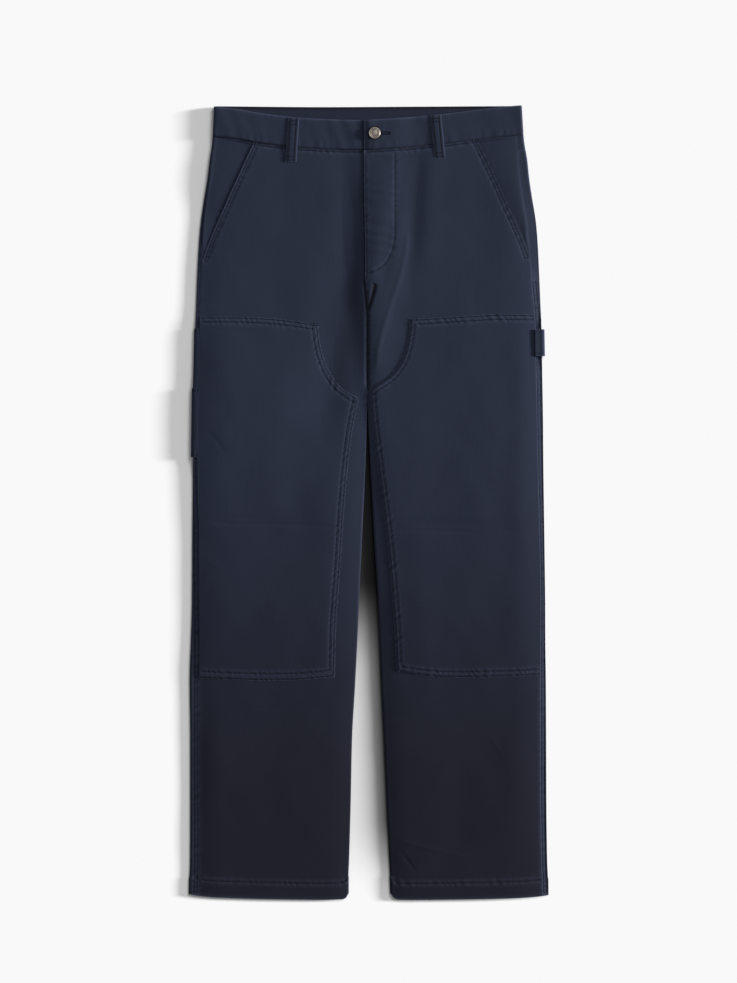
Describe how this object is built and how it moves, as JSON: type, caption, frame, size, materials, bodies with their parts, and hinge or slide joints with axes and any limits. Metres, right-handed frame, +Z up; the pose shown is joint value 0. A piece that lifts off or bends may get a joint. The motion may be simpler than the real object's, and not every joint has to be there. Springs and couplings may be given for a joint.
{
  "type": "carpenter pants",
  "caption": "Full-length straight-leg carpenter pants in navy canvas with double knees, slant pockets, hammer loop and tool pocket, laid flat face up.",
  "frame": {"origin": "centre of the bounding box at the level of the surface that the pants lie on", "axes": "+Z up from the surface, out of the front of the pants; +Y from the hems to the waist; +X to the wearer's left"},
  "size_m": [0.4857, 1.0711, 0.0133],
  "materials": {
    "canvas": "matt washed navy cotton canvas with a fine twill",
    "button": "antique warm silver, plain ringed face"
  },
  "bodies": {
    "root": {"front_panel_right": "canvas", "front_panel_left": "canvas", "back_panel_right": "canvas", "back_panel_left": "canvas", "back_yoke_right": "canvas", "back_yoke_left": "canvas", "knee_patch_right": "canvas", "knee_patch_left": "canvas", "pocket_facing_right": "canvas", "pocket_facing_left": "canvas", "fly_shield": "canvas", "waistband": "canvas", "belt_loop_front_right": "canvas", "belt_loop_front_left": "canvas", "belt_loop_back_right": "canvas", "belt_loop_back_centre": "canvas", "belt_loop_back_left": "canvas", "tool_pocket": "canvas", "tool_pocket_short": "canvas", "hammer_loop": "canvas", "waist_button": "button"}
  },
  "joints": []
}
